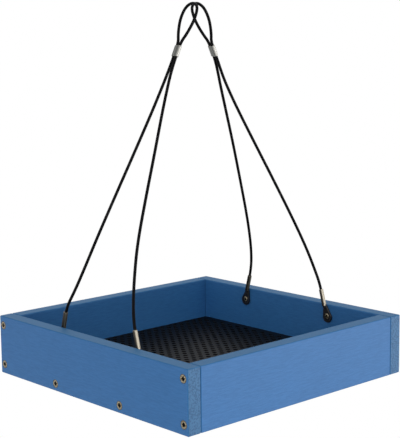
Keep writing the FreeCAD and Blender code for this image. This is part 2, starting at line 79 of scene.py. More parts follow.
# Half of each cable's route in metres, from inside its back sleeve up the leg,
# through the loop ferrule and round to the loop's top; the other half mirrors it.
RIGHT_LEG = [
    (0.1340, 0.0586, -0.3213),
    (0.1340, 0.0549, -0.3075),
    (0.1306, 0.0497, -0.2900),
    (0.1232, 0.0441, -0.2660),
    (0.1102, 0.0368, -0.2340),
    (0.0910, 0.0274, -0.1920),
    (0.0708, 0.0176, -0.1490),
    (0.0516, 0.0092, -0.1090),
    (0.0399, 0.0046, -0.0830),
    (0.0350, 0.0028, -0.0700),
]
LEFT_LEG = [
    (0.1340, 0.0586, -0.3213),
    (0.1340, 0.0549, -0.3075),
    (0.1284, 0.0474, -0.2900),
    (0.1204, 0.0400, -0.2660),
    (0.1090, 0.0320, -0.2340),
    (0.0906, 0.0238, -0.1920),
    (0.0712, 0.0158, -0.1490),
    (0.0536, 0.0082, -0.1090),
    (0.0422, 0.0042, -0.0830),
    (0.0364, 0.0026, -0.0700),
]
LOOP = [
    (0.0301, 0.0018, -0.0567),
    (0.0213, 0.0018, -0.0382),
    (0.0178, 0.0060, -0.0309),
    (0.0139, 0.0091, -0.0228),
    (0.0103, 0.0109, -0.0151),
    (0.0065, 0.0106, -0.0072),
    (0.0039, 0.0084, -0.0018),
    (0.0023, 0.0033, 0.0016),
]
ROUTE_STEPS = 64

# Lean from upright of the cables where their fittings grip them
SLEEVE_LEAN = math.radians(15.3)
FERRULE_LEAN = math.radians(25.5)
RING_STEP = 1.0 * MM
SIDES_PER_STRAND = 4

# View of the photograph, in degrees and metres
CAMERA_PLACE = (-0.84581, -0.93123, -0.03625)
CAMERA_AZIMUTH = -42.385
CAMERA_ELEVATION = 8.498
CAMERA_ROLL = -0.711
FOCAL_PIXELS = 1196.75
PICTURE_HEIGHT = 438
SENSOR = 36.0

# Studio floor in metres: half its width, and the radii between which it fades
# out of sight. The glow is the share of its seen colour that is plain white.
FLOOR_REACH = 30.0
SHADOW_REACH = (0.45, 0.95)
FLOOR_GLOW = 0.85

# Lamps as name, place, point that they face, size and power, in metres and watts
TRAY = (0, 0, CAD_BOX[0].z)
HOOK = (0, 0, 0)
SOFTBOXES = (
    ("right_softbox", (2.2, -2.6, -0.6), TRAY, (2.0, 0.65), 43),
    ("middle_softbox", (0.5, -1.7, -0.55), TRAY, (1.4, 0.45), 3.5),
    ("front_softbox", (-0.3, -1.9, 0.35), TRAY, (1.4, 0.6), 7.8),
    ("left_softbox", (-2.0, -1.0, -0.45), TRAY, (1.2, 0.6), 6),
    ("side_softbox", (-1.9, -0.4, 0.35), TRAY, (1.2, 0.6), 8.1),
    ("top_softbox", (0.3, 0.3, 1.8), HOOK, (1.6, 1.6), 8),
)

# Least share of an axis in a face's normal for the face to look along that axis
SQUARE_ON = 0.8

# Wear of the boards' corners, which is also their share of the sawn colour as a painted
# highlight along the rounded corners, and of their upper and lower edges: the more wear,
# the duller
CORNER_WEAR_AND_HIGHLIGHT = 0.45
EDGE_WEAR = 0.10

# Painted shade on a screw head, dark in the middle for its cross recess and at the edge
# for its countersink: the middle shade's limit and the rim shade's start as shares of the
# head's radius, then where the middle shade thins and how ragged it ends as shares of its
# reach
RECESS_SHADE_LIMIT = 0.6
RIM_START = 0.70
RECESS_SHADE_CORE = 0.6
RECESS_SHADE_RAGGED = 0.3

# Sockets of the colour Mix node, which shares its names with other kinds
MIX_FACTOR = 0
MIX_FIRST = 6
MIX_SECOND = 7
MIX_COLOUR = 2


def linear(hex_colour):
    """Scene-linear RGBA of an sRGB hex colour"""
    channels = [int(hex_colour[i:i + 2], 16) / 255 for i in (0, 2, 4)]
    levels = [
        c / 12.92 if c <= 0.04045 else ((c + 0.055) / 1.055) ** 2.4
        for c in channels
    ]
    return (*levels, 1.0)


class BoardFinish(bpy.types.PropertyGroup):
    """Look of the recycled-plastic boards"""

    face: FloatVectorProperty(
        name="Face colour",
        description="Blue of the pressed faces",
        subtype="COLOR",
        size=4,
        default=linear("316CA6"),
    )
    streak: FloatVectorProperty(
        name="Streak colour",
        description="Darker blue in the grain's furrows",
        subtype="COLOR",
        size=4,
        default=linear("2B659D"),
    )
    # Painted shade: a darker, greyer blue for the faces that look up or down
    shaded: FloatVectorProperty(
        name="Planed colour",
        description="Duller blue of the planed upper and lower edges",
        subtype="COLOR",
        size=4,
        default=linear("2A6796"),
    )
    # The worn corners' share of this colour is a painted highlight along the rounded
    # corners
    sawn: FloatVectorProperty(
        name="Sawn colour",
        description="Greyer blue of the sawn ends and worn corners",
        subtype="COLOR",
        size=4,
        default=linear("386A95"),
    )
    pore: FloatVectorProperty(
        name="Pore colour",
        description="Dark specks in the sawn ends",
        subtype="COLOR",
        size=4,
        default=linear("27567F"),
    )
    grain_width: FloatProperty(
        name="Grain width",
        description="Distance from one pressed furrow to the next",
        default=1.1 * MM,
        unit="LENGTH",
    )
    grain_length: FloatProperty(
        name="Grain length",
        description="Length of one furrow along the board",
        default=10 * MM,
        unit="LENGTH",
    )
    grain_depth: FloatProperty(
        name="Grain depth",
        description="Depth of the pressed furrows",
        default=0.06 * MM,
        unit="LENGTH",
    )
    pore_size: FloatProperty(
        name="Pore size",
        description="Distance from one pore to the next in the sawn ends",
        default=1.6 * MM,
        unit="LENGTH",
    )


class FloorFinish(bpy.types.PropertyGroup):
    """Holes and colour of the punched floor"""

    hole: FloatProperty(
        name="Hole",
        description="Diameter of the punched holes",
        default=5.5 * MM,
        unit="LENGTH",
    )
    pitch: FloatProperty(
        name="Pitch",
        description="Distance between hole centres in a row",
        default=10.2 * MM,
        unit="LENGTH",
    )
    row_step: FloatProperty(
        name="Row step",
        description="Distance between rows, each half a pitch on from the last",
        default=6.84 * MM,
        unit="LENGTH",
    )
    border: FloatProperty(
        name="Border",
        description="Least plain border round the holes",
        default=2.0 * MM,
        unit="LENGTH",
    )
    hole_sides: IntProperty(
        name="Hole sides",
        description="Flat sides that each round hole is drawn with",
        default=16,
    )
    coat: FloatVectorProperty(
        name="Coat colour",
        description="Black of the powder coat",
        subtype="COLOR",
        size=4,
        default=linear("060709"),
    )


class CableFinish(bpy.types.PropertyGroup):
    """Jacket of the hanger cables"""

    diameter: FloatProperty(
        name="Diameter",
        description="Outside diameter of the vinyl jacket",
        default=3.2 * MM,
        unit="LENGTH",
    )
    strands: IntProperty(
        name="Strands",
        description="Outer strands of the wire rope that show through the jacket",
        default=6,
    )
    lay_length: FloatProperty(
        name="Lay length",
        description="Length in which a strand goes once round",
        default=17 * MM,
        unit="LENGTH",
    )
    ridge: FloatProperty(
        name="Ridge",
        description="Height of the strands' ridges in the jacket",
        default=0.05 * MM,
        unit="LENGTH",
    )
    jacket: FloatVectorProperty(
        name="Jacket colour",
        description="Black of the vinyl",
        subtype="COLOR",
        size=4,
        default=linear("040406"),
    )


class MetalFinish(bpy.types.PropertyGroup):
    """Colours of the screws, eyes and crimped fittings"""

    plating: FloatVectorProperty(
        name="Screw plating",
        description="Slightly yellow zinc of the screws",
        subtype="COLOR",
        size=4,
        default=linear("ACA592"),
    )
    stain: FloatVectorProperty(
        name="Screw stain",
        description="Brown patches where the zinc has worn thin",
        subtype="COLOR",
        size=4,
        default=linear("70644E"),
    )
    # Painted shade: the dark colour in the middle of each screw head, where the cross
    # recess is
    recess: FloatVectorProperty(
        name="Screw recess",
        description="Dark residue in the screws' cross recesses",
        subtype="COLOR",
        size=4,
        default=linear("1E1A17"),
    )
    ferrule: FloatVectorProperty(
        name="Ferrule",
        description="Bright drawn aluminium of the ferrules' rounded ends",
        subtype="COLOR",
        size=4,
        default=linear("BAB8B2"),
    )
    # Painted dark reflection on the ferrules' sides that look along X
    ferrule_side_shade: FloatVectorProperty(
        name="Ferrule flats",
        description="Grey of the flats that the crimping tool pressed",
        subtype="COLOR",
        size=4,
        default=linear("787976"),
    )
    # Painted light: one metal in a lit copy for the front sleeves and a shaded copy,
    # darker and browner, for the back ones
    front_sleeve_lit: FloatVectorProperty(
        name="Front sleeves",
        description="Bright metal of the two front sleeves",
        subtype="COLOR",
        size=4,
        default=linear("BDB4A3"),
    )
    back_sleeve_shaded: FloatVectorProperty(
        name="Back sleeves",
        description="Darker, browner metal of the two back sleeves",
        subtype="COLOR",
        size=4,
        default=linear("787264"),
    )
    # Painted dark reflection on the sleeves' sides that look along X
    sleeve_side_shade: FloatVectorProperty(
        name="Sleeve tarnish",
        description="Dark oxide on the sleeves' left and right sides",
        subtype="COLOR",
        size=4,
        default=linear("3D3933"),
    )
    black_coat: FloatVectorProperty(
        name="Eye coat",
        description="Black coat of the cable eyes",
        subtype="COLOR",
        size=4,
        default=linear("0C0C10"),
    )
    # Painted shade: how far the dark middle of a screw head reaches from its centre
    recess_shade_reach: FloatProperty(
        name="Grime reach",
        description="Farthest that dirt spreads from the middle of a screw head",
        default=2.7 * MM,
        unit="LENGTH",
    )


class StudioSettings(bpy.types.PropertyGroup):
    """Pale floor and soft light"""

    floor_drop: FloatProperty(
        name="Floor drop",
        description="Height of the hanging tray above the studio floor",
        default=0.40,
        unit="LENGTH",
    )
    ambient: FloatProperty(
        name="Ambient light",
        description="Level of the even light from all round",
        default=0.37,
    )


def add_node(tree, kind, settings, inputs):
    """Node with its settings, and its inputs as values or other nodes' sockets"""
    node = tree.nodes.new(kind)
    for name, value in settings.items():
        setattr(node, name, value)
    for socket, value in inputs.items():
        if isinstance(value, bpy.types.NodeSocket):
            tree.links.new(value, node.inputs[socket])
        else:
            node.inputs[socket].default_value = value
    return node


def new_material(name, surface):
    """Material with a Principled surface set from plain values"""
    material = bpy.data.materials.new(name)
    material.use_nodes = True
    tree = material.node_tree
    tree.nodes.clear()
    shader = add_node(tree, "ShaderNodeBsdfPrincipled", {}, surface)
    add_node(tree, "ShaderNodeOutputMaterial", {}, {"Surface": shader.outputs[0]})
    return material, tree, shader


def object_space(tree):
    """Socket of a point's place in its object's own space"""
    return add_node(tree, "ShaderNodeTexCoord", {}, {}).outputs["Object"]


def facing_shares(tree):
    """Sockets of how squarely a face looks along X, Y and Z, from 0 to 1"""
    normal = add_node(tree, "ShaderNodeNewGeometry", {}, {}).outputs["Normal"]
    steep = add_node(tree, "ShaderNodeVectorMath", {"operation": "ABSOLUTE"}, {
        0: normal,
    })
    return add_node(tree, "ShaderNodeSeparateXYZ", {}, {0: steep.outputs[0]}).outputs


def mix_colours(tree, share, first, second):
    """Socket of two colours mixed by the second one's share"""
    return add_node(tree, "ShaderNodeMix", {"data_type": "RGBA"}, {
        MIX_FACTOR: share,
        MIX_FIRST: first,
        MIX_SECOND: second,
    }).outputs[MIX_COLOUR]


def set_ramp(ramp, stops):
    """Set a colour ramp's stops from pairs of place and grey level"""
    elements = ramp.color_ramp.elements
    for element, (place, level) in zip(elements, stops):
        element.position = place
        element.color = (level, level, level, 1.0)


def recycled_lumber(finish, along):
    """Boards' material with its grain along axis 0 or 1"""
    # Extruded polyethylene lumber, blue all through, its faces pressed with a
    # short wood grain: satin, with fine dashes along the board. Saws leave the
    # ends paler and pitted with dark pores.
    material, tree, shader = new_material(
        f"recycled_plastic_lumber_along_{'xy'[along]}",
        {"IOR": 1.54, "Specular IOR Level": 0.3},
    )
    place = object_space(tree)
    stretch = [1 / finish.grain_width] * 3
    stretch[along] = 1 / finish.grain_length
    grain_space = add_node(tree, "ShaderNodeMapping", {}, {
        "Vector": place,
        "Scale": stretch,
    })
    furrows = add_node(tree, "ShaderNodeTexNoise", {}, {
        "Vector": grain_space.outputs[0],
        "Scale": 1.0,
        "Detail": 3.0,
        "Roughness": 0.6,
    })
    grain = add_node(tree, "ShaderNodeValToRGB", {}, {"Fac": furrows.outputs["Fac"]})
    set_ramp(grain, [(0.36, 0.0), (0.62, 1.0)])
    clouds = add_node(tree, "ShaderNodeTexNoise", {}, {
        "Vector": place,
        "Scale": 1 / (28 * MM),
        "Detail": 4.0,
        "Roughness": 0.65,
    })
    face = mix_colours(tree, grain.outputs["Color"], finish.streak, finish.face)
    tone = add_node(tree, "ShaderNodeHueSaturation", {}, {
        "Color": face,
        "Value": add_node(tree, "ShaderNodeMapRange", {}, {
            "Value": clouds.outputs["Fac"],
            "To Min": 0.94,
            "To Max": 1.06,
        }).outputs[0],
    })
    pores = add_node(tree, "ShaderNodeTexNoise", {}, {
        "Vector": place,
        "Scale": 1 / finish.pore_size,
        "Detail": 2.0,
    })
    pitted = add_node(tree, "ShaderNodeValToRGB", {}, {"Fac": pores.outputs["Fac"]})
    set_ramp(pitted, [(0.40, 0.0), (0.56, 1.0)])
    sawn = mix_colours(tree, pitted.outputs["Color"], finish.pore, finish.sawn)
    turned = facing_shares(tree)
    is_end = add_node(tree, "ShaderNodeMath", {"operation": "GREATER_THAN"}, {
        0: turned[along],
        1: SQUARE_ON,
    })
    is_edge = add_node(tree, "ShaderNodeMath", {"operation": "GREATER_THAN"}, {
        0: turned[2],
        1: SQUARE_ON,
    })
    # Painted shade: faces that look up or down take the darker, greyer blue
    side = mix_colours(tree, is_edge.outputs[0], tone.outputs["Color"], finish.shaded)
    body = mix_colours(tree, is_end.outputs[0], side, sawn)
    widest = add_node(tree, "ShaderNodeMath", {"operation": "MAXIMUM"}, {
        0: turned[0],
        1: add_node(tree, "ShaderNodeMath", {"operation": "MAXIMUM"}, {
            0: turned[1],
            1: turned[2],
        }).outputs[0],
    })
    arris = add_node(tree, "ShaderNodeMapRange", {}, {
        "Value": widest.outputs[0],
        "From Min": 0.98,
        "From Max": SQUARE_ON,
        "To Max": CORNER_WEAR_AND_HIGHLIGHT,
    })
    # Painted highlight: the rounded corners take some of the sawn colour as a lighter,
    # greyer line
    worn = mix_colours(tree, arris.outputs[0], body, finish.sawn)
    relief = mix_colours(
        tree,
        is_end.outputs[0],
        grain.outputs["Color"],
        pitted.outputs["Color"],
    )
    bump = add_node(tree, "ShaderNodeBump", {}, {
        "Height": relief,
        "Distance": finish.grain_depth,
        "Strength": 0.6,
    })
    # The pressed faces are satin, upper and lower edges duller and worn corners dullest
    planed_share = add_node(tree, "ShaderNodeMath", {"operation": "MULTIPLY"}, {
        0: is_edge.outputs[0],
        1: EDGE_WEAR,
    })
    dull = add_node(tree, "ShaderNodeMath", {"operation": "MAXIMUM"}, {
        0: planed_share.outputs[0],
        1: arris.outputs[0],
    })
    gloss = add_node(tree, "ShaderNodeMapRange", {}, {
        "Value": dull.outputs[0],
        "From Max": CORNER_WEAR_AND_HIGHLIGHT,
        "To Min": 0.5,
        "To Max": 0.95,
    })
    tree.links.new(worn, shader.inputs["Base Color"])
    tree.links.new(gloss.outputs[0], shader.inputs["Roughness"])
    tree.links.new(bump.outputs[0], shader.inputs["Normal"])
    return material


def powder_coat(finish):
    """Floor sheet's material"""
    # Powder coat on punched steel: near black and satin, with the faint
    # orange-peel ripple that cured powder has.
    material, tree, shader = new_material("black_powder_coated_steel", {
        "Base Color": finish.coat,
        "Roughness": 0.42,
        "IOR": 1.5,
        "Specular IOR Level": 0.06,
    })
    place = object_space(tree)
    ripple = add_node(tree, "ShaderNodeTexNoise", {}, {
        "Vector": place,
        "Scale": 1 / (1.5 * MM),
        "Detail": 1.0,
    })
    bump = add_node(tree, "ShaderNodeBump", {}, {
        "Height": ripple.outputs["Fac"],
        "Distance": 0.03 * MM,
    })
    tree.links.new(bump.outputs[0], shader.inputs["Normal"])
    return material


def vinyl(finish):
    """Cable jacket's material"""
    # Extruded black vinyl over wire rope: a faint wide sheen over a bluish black,
    # a little duller where hands have rubbed it.
    material, tree, shader = new_material("extruded_black_vinyl", {
        "Base Color": finish.jacket,
        "IOR": 1.53,
        "Specular IOR Level": 0.05,
    })
    place = object_space(tree)
    rubbed = add_node(tree, "ShaderNodeTexNoise", {}, {
        "Vector": place,
        "Scale": 1 / (6 * MM),
        "Detail": 3.0,
    })
    gloss = add_node(tree, "ShaderNodeMapRange", {}, {
        "Value": rubbed.outputs["Fac"],
        "To Min": 0.28,
        "To Max": 0.50,
    })
    tree.links.new(gloss.outputs[0], shader.inputs["Roughness"])
    return material


def zinc_plated_steel(finish, group, radius):
    """Material of a group of screws whose heads have this radius"""
    # Cold-headed steel with slightly yellow zinc, worn brown in patches. Painted shade
    # darkens the middle of each head, where the cross recess is, and its edge, where the
    # countersink is; the rest is bright. The group's box gives where its heads are.
    material, tree, shader = new_material(f"zinc_plated_{group}", {"Metallic": 1.0})
    place = object_space(tree)
    low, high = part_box(group)
    from_middle = add_node(tree, "ShaderNodeVectorMath", {"operation": "SUBTRACT"}, {
        0: place,
        1: (low + high) / 2,
    })
    quadrant = add_node(tree, "ShaderNodeVectorMath", {"operation": "ABSOLUTE"}, {
        0: from_middle.outputs[0],
    })
    reach = (high - low) / 2
    from_head = add_node(tree, "ShaderNodeVectorMath", {"operation": "SUBTRACT"}, {
        0: quadrant.outputs[0],
        1: (0.0, reach.y - radius, reach.z - radius),
    })
    across = add_node(tree, "ShaderNodeVectorMath", {"operation": "MULTIPLY"}, {
        0: from_head.outputs[0],
        1: (0.0, 1.0, 1.0),
    })
    from_axis = add_node(tree, "ShaderNodeVectorMath", {"operation": "LENGTH"}, {
        0: across.outputs[0],
    })
    shade_reach = min(finish.recess_shade_reach, radius * RECESS_SHADE_LIMIT)
    patina = add_node(tree, "ShaderNodeTexNoise", {}, {
        "Vector": place,
        "Scale": 1 / (1.2 * MM),
        "Detail": 3.0,
    })
    uneven = add_node(tree, "ShaderNodeMapRange", {}, {
        "Value": patina.outputs["Fac"],
        "To Min": -shade_reach * RECESS_SHADE_RAGGED,
        "To Max": shade_reach * RECESS_SHADE_RAGGED,
    })
    # Painted shade: the middle of each head takes the dark recess colour, with a ragged
    # edge
    unshaded = add_node(tree, "ShaderNodeMapRange", {}, {
        "Value": add_node(tree, "ShaderNodeMath", {}, {
            0: from_axis.outputs["Value"],
            1: uneven.outputs[0],
        }).outputs[0],
        "From Min": shade_reach * RECESS_SHADE_CORE,
        "From Max": shade_reach,
    })
    sound = add_node(tree, "ShaderNodeMapRange", {}, {
        "Value": patina.outputs["Fac"],
        "From Min": 0.42,
        "From Max": 0.58,
    })
    zinc = mix_colours(tree, sound.outputs[0], finish.stain, finish.plating)
    colour = mix_colours(tree, unshaded.outputs[0], finish.recess, zinc)
    # Painted shade: each head darkens towards its edge, where the countersink shades it
    rim = add_node(tree, "ShaderNodeMapRange", {}, {
        "Value": from_axis.outputs["Value"],
        "From Min": radius * RIM_START,
        "From Max": radius,
        "To Min": 1.0,
        "To Max": 0.30,
    })
    rim_shaded = add_node(tree, "ShaderNodeHueSaturation", {}, {
        "Color": colour,
        "Value": rim.outputs[0],
    })
    gloss = add_node(tree, "ShaderNodeMapRange", {}, {
        "Value": patina.outputs["Fac"],
        "To Min": 0.25,
        "To Max": 0.50,
    })
    tree.links.new(rim_shaded.outputs["Color"], shader.inputs["Base Color"])
    tree.links.new(gloss.outputs[0], shader.inputs["Roughness"])
    return material


def coated_eye(finish):
    """Cable eyes' material"""
    # Steel eye dipped in black paint: satin, thick and slightly uneven.
    material, tree, shader = new_material("dipped_black_steel", {
        "Base Color": finish.black_coat,
        "Roughness": 0.38,
        "IOR": 1.5,
    })
    place = object_space(tree)
    runs = add_node(tree, "ShaderNodeTexNoise", {}, {
        "Vector": place,
        "Scale": 1 / (2.5 * MM),
        "Detail": 2.0,
    })
    bump = add_node(tree, "ShaderNodeBump", {}, {
        "Height": runs.outputs["Fac"],
        "Distance": 0.15 * MM,
    })
    tree.links.new(bump.outputs[0], shader.inputs["Normal"])
    return material


def drawn_aluminium(name, lean, axis, bright, pressed):
    """Crimped fittings' material, drawn lines along an axis that leans inward"""
    # Extruded aluminium tube pressed in a crimping tool, bright where the tube stayed
    # round. The sides that look along X are painted grey as a painted dark reflection, and
    # the fine lines along it are drawing marks with painted reflection banding in their
    # strong dark streaks.
    material, tree, shader = new_material(name, {"Metallic": 0.8, "Roughness": 0.4})
    place = object_space(tree)
    halves = add_node(tree, "ShaderNodeVectorMath", {"operation": "ABSOLUTE"}, {
        0: place,
    })
    turn = [0.0, 0.0, 0.0]
    turn[axis] = lean
    upright = add_node(tree, "ShaderNodeMapping", {}, {
        "Vector": halves.outputs[0],
        "Rotation": turn,
    })
    stretched = add_node(tree, "ShaderNodeMapping", {}, {
        "Vector": upright.outputs[0],
        "Scale": (1 / (1.1 * MM), 1 / (1.1 * MM), 1 / (60 * MM)),
    })
    lines = add_node(tree, "ShaderNodeTexNoise", {}, {
        "Vector": stretched.outputs[0],
        "Scale": 1.0,
        "Detail": 2.0,
    })
    turned = facing_shares(tree)
    # Painted dark reflection: faces that look along X take the darker colour
    side_shade_share = add_node(tree, "ShaderNodeMapRange", {}, {
        "Value": turned[0],
        "From Min": 0.60,
        "From Max": 0.80,
    })
    tube = mix_colours(tree, side_shade_share.outputs[0], bright, pressed)
    # Drawing lines, with painted reflection banding: the noise darkens the colour in
    # strong streaks along the tube
    colour = add_node(tree, "ShaderNodeHueSaturation", {}, {
        "Color": tube,
        "Value": add_node(tree, "ShaderNodeMapRange", {}, {
            "Value": lines.outputs["Fac"],
            "From Min": 0.35,
            "From Max": 0.60,
            "To Min": 0.42,
            "To Max": 1.0,
        }).outputs[0],
    })
    bump = add_node(tree, "ShaderNodeBump", {}, {
        "Height": lines.outputs["Fac"],
        "Distance": 0.015 * MM,
    })
    tree.links.new(colour.outputs["Color"], shader.inputs["Base Color"])
    tree.links.new(bump.outputs[0], shader.inputs["Normal"])
    return material


def coat_node(name, material):
    """Give a node of the frame its finish"""
    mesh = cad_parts[name].data
    mesh.materials.clear()
    mesh.materials.append(material)


def new_piece(name, mesh, material):
    """Mesh piece that rides with the feeder"""
    piece = bpy.data.objects.new(name, mesh)
    bpy.context.scene.collection.objects.link(piece)
    mesh.materials.append(material)
    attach(piece, "root")
    return piece


def route_line(name, points):
    """Points along the smooth line that a cable's route controls"""
    curve = bpy.data.curves.new(name, "CURVE")
    curve.dimensions = "3D"
    curve.resolution_u = ROUTE_STEPS
    spline = curve.splines.new("NURBS")
    spline.points.add(len(points) - 1)
    for control, place in zip(spline.points, points):
        control.co = (*place, 1.0)
    spline.order_u = 3
    spline.use_endpoint_u = True
    guide = bpy.data.objects.new(name, curve)
    bpy.context.scene.collection.objects.link(guide)
    bpy.context.view_layer.update()
    seen = guide.evaluated_get(bpy.context.evaluated_depsgraph_get())
    mesh = bpy.data.meshes.new_from_object(seen)
    line = [vertex.co.copy() for vertex in mesh.vertices]
    bpy.data.objects.remove(guide)
    bpy.data.meshes.remove(mesh)
    return line


def even_steps(line, step):
    """The same line with its points about one step apart"""
    total = sum((b - a).length for a, b in zip(line, line[1:]))
    count = round(total / step)
    spaced = [line[0]]
    walked = 0.0
    for a, b in zip(line, line[1:]):
        run = (b - a).length
        while len(spaced) < count and len(spaced) * total / count <= walked + run:
            share = (len(spaced) * total / count - walked) / run
            spaced.append(a.lerp(b, share))
        walked += run
    spaced.append(line[-1])
    return spaced, total


def roped_tube(name, line, finish):
    """Jacketed wire rope: a tube whose faint ridges wind along the line"""
    around = finish.strands * SIDES_PER_STRAND
    tangents = [(b - a).normalized() for a, b in zip(line, line[1:])]
    tangents.append(tangents[-1])
    side = tangents[0].orthogonal().normalized()
    mesh = bmesh.new()
    rings = []
    walked = 0.0
    for i, (place, tangent) in enumerate(zip(line, tangents)):
        if i:
            bend = tangents[i - 1].rotation_difference(tangent)
            side = (bend @ side).normalized()
            walked += (place - line[i - 1]).length
        twist = math.tau * walked / finish.lay_length
        ring = []
        for k in range(around):
            dip = 0.5 - 0.5 * math.cos(math.tau * k / SIDES_PER_STRAND)
            radius = finish.diameter / 2 - finish.ridge * dip
            turn = Quaternion(tangent, twist + math.tau * k / around)
            ring.append(mesh.verts.new(place + turn @ side * radius))
        rings.append(ring)
    for lower, upper in zip(rings, rings[1:]):
        for k in range(around):
            after = (k + 1) % around
            mesh.faces.new((lower[k], lower[after], upper[after], upper[k]))
    mesh.faces.new(list(reversed(rings[0])))
    mesh.faces.new(rings[-1])
    for face in mesh.faces:
        face.smooth = True
    data = bpy.data.meshes.new(name)
    mesh.to_mesh(data)
    mesh.free()
    return data


def lay_cable(side, leg, material, finish):
    """One cable over its loop, from the back eye's sleeve to the front one's"""
    sign = 1 if side == "right" else -1
    half = [(sign * x, y, z) for x, y, z in leg + LOOP]
    route = half + [(x, -y, z) for x, y, z in reversed(half)]
    line, length = even_steps(route_line(f"{side}_route", route), RING_STEP)
    mesh = roped_tube(f"{side}_roped_cable", line, finish)
    cable = new_piece(f"{side}_roped_cable", mesh, material)
    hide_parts(f"{side}_cable")


def punched_cell(mesh, hole_ring, corners):
    """Flat faces between a cell's outline and the hole in it, joined by angle"""
    centre = sum((v.co for v in hole_ring), Vector()) / len(hole_ring)

    def angle(vertex):
        arm = vertex.co - centre
        return math.atan2(arm.y, arm.x) % math.tau

    inner = sorted(hole_ring, key=angle)
    outer = sorted(corners, key=angle)
    i = 0
    k = 0
    while i < len(inner) or k < len(outer):
        here_in = inner[i % len(inner)]
        here_out = outer[(k - 1) % len(outer)]
        next_in = angle(inner[i]) if i < len(inner) else math.inf
        next_out = angle(outer[k]) if k < len(outer) else math.inf
        if next_out < next_in:
            mesh.faces.new((inner[(i - 1) % len(inner)], here_out, outer[k]))
            k += 1
        else:
            mesh.faces.new((inner[(i - 1) % len(inner)], here_out, here_in))
            i += 1


def punched_sheet(name, finish):
    """Thin sheet with round holes in staggered rows and a plain border"""
    low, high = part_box("floor_screen")
    size = high - low
    pitch = finish.pitch
    row_step = finish.row_step
    columns = int((size.x - 2 * finish.border) / pitch - 0.5)
    rows = int((size.y - 2 * finish.border) / row_step)
    start_x = (low.x + high.x) / 2 - (columns + 0.5) * pitch / 2
    start_y = (low.y + high.y) / 2 - rows * row_step / 2
    mesh = bmesh.new()
    nodes = {}

    def node(half_steps, row):
        """Shared vertex at a count of half pitches along a row's lower edge"""
        key = (half_steps, row)
        if key not in nodes:
            place = (start_x + half_steps * pitch / 2, start_y + row * row_step, high.z)
            nodes[key] = mesh.verts.new(place)
        return nodes[key]

    last = 2 * columns + 1
    for row in range(rows):
        shift = row % 2
        for column in range(columns):
            first = 2 * column + shift
            corners = [
                node(first + step, row + up)
                for up in (0, 1)
                for step in (0, 1, 2)
            ]
            centre = Vector((
                start_x + (first + 1) * pitch / 2,
                start_y + (row + 0.5) * row_step,
                high.z,
            ))
            ring = [
                mesh.verts.new(centre + Vector((
                    math.cos(math.tau * k / finish.hole_sides),
                    math.sin(math.tau * k / finish.hole_sides),
                    0,
                )) * finish.hole / 2)
                for k in range(finish.hole_sides)
            ]
            punched_cell(mesh, ring, corners)
        spare = 0 if shift else last - 1
        mesh.faces.new((
            node(spare, row),
            node(spare + 1, row),
            node(spare + 1, row + 1),
            node(spare, row + 1),
        ))
    bottom = [node(k, 0) for k in range(last + 1)]
    right = [node(last, k) for k in range(1, rows)]
    top = [node(k, rows) for k in range(last, -1, -1)]
    left = [node(0, k) for k in range(rows - 1, 0, -1)]
    inner = bottom + right + top + left
    outer = []
    for vertex in inner:
        x, y, z = vertex.co
        if vertex in (bottom[0], *left, top[-1]):
            x = low.x
        if vertex in (bottom[-1], *right, top[0]):
            x = high.x
        if vertex in bottom:
            y = low.y
        if vertex in top:
            y = high.y
        outer.append(mesh.verts.new((x, y, z)))
    for k in range(len(inner)):
        after = (k + 1) % len(inner)
        mesh.faces.new((inner[k], outer[k], outer[after], inner[after]))
    sheet = bmesh.ops.extrude_face_region(mesh, geom=list(mesh.faces))
    lowered = [part for part in sheet["geom"] if isinstance(part, bmesh.types.BMVert)]
    bmesh.ops.translate(mesh, verts=lowered, vec=(0, 0, -size.z))
    bmesh.ops.recalc_face_normals(mesh, faces=mesh.faces)
    data = bpy.data.meshes.new(name)
    mesh.to_mesh(data)
    mesh.free()
    return data


class FEEDER_OT_cables(bpy.types.Operator):
    """Run the two jacketed cables through their sleeves, ferrules and loops"""

    bl_idname = "feeder.cables"
    bl_label = "Hanger cables"

    def execute(self, context):
        finish = context.scene.feeder_cables
        material = vinyl(finish)
        lay_cable("right", RIGHT_LEG, material, finish)
        lay_cable("left", LEFT_LEG, material, finish)
        return {"FINISHED"}


class FEEDER_OT_boards(bpy.types.Operator):
    """Finish the four boards and the two cross bars"""

    bl_idname = "feeder.boards"
    bl_label = "Boards and bars"

    def execute(self, context):
        finish = context.scene.feeder_boards
        for along, names in enumerate((BOARDS_ALONG_X, BOARDS_ALONG_Y)):
            material = recycled_lumber(finish, along)
            for name in names:
                coat_node(name, material)
        return {"FINISHED"}


class FEEDER_OT_floor(bpy.types.Operator):
    """Punch the floor sheet with its real small holes"""

    bl_idname = "feeder.floor"
    bl_label = "Punched floor"

    def execute(self, context):
        finish = context.scene.feeder_floor
        mesh = punched_sheet("punched_floor", finish)
        sheet = new_piece("punched_floor", mesh, powder_coat(finish))
        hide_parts("floor_screen")
        return {"FINISHED"}


class FEEDER_OT_screws(bpy.types.Operator):
    """Finish the countersunk and round-head screws"""

    bl_idname = "feeder.screws"
    bl_label = "Screws"

    def execute(self, context):
        finish = context.scene.feeder_metal
        # Groups whose heads lie at one height are as tall as a head is wide
        for group, row in (
            ("corner_screws", "cross_bar_screws"),
            ("cross_bar_screws", "cross_bar_screws"),
            ("eye_screws", "eye_screws"),
        ):
            low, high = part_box(row)
            coat_node(group, zinc_plated_steel(finish, group, (high.z - low.z) / 2))
        return {"FINISHED"}


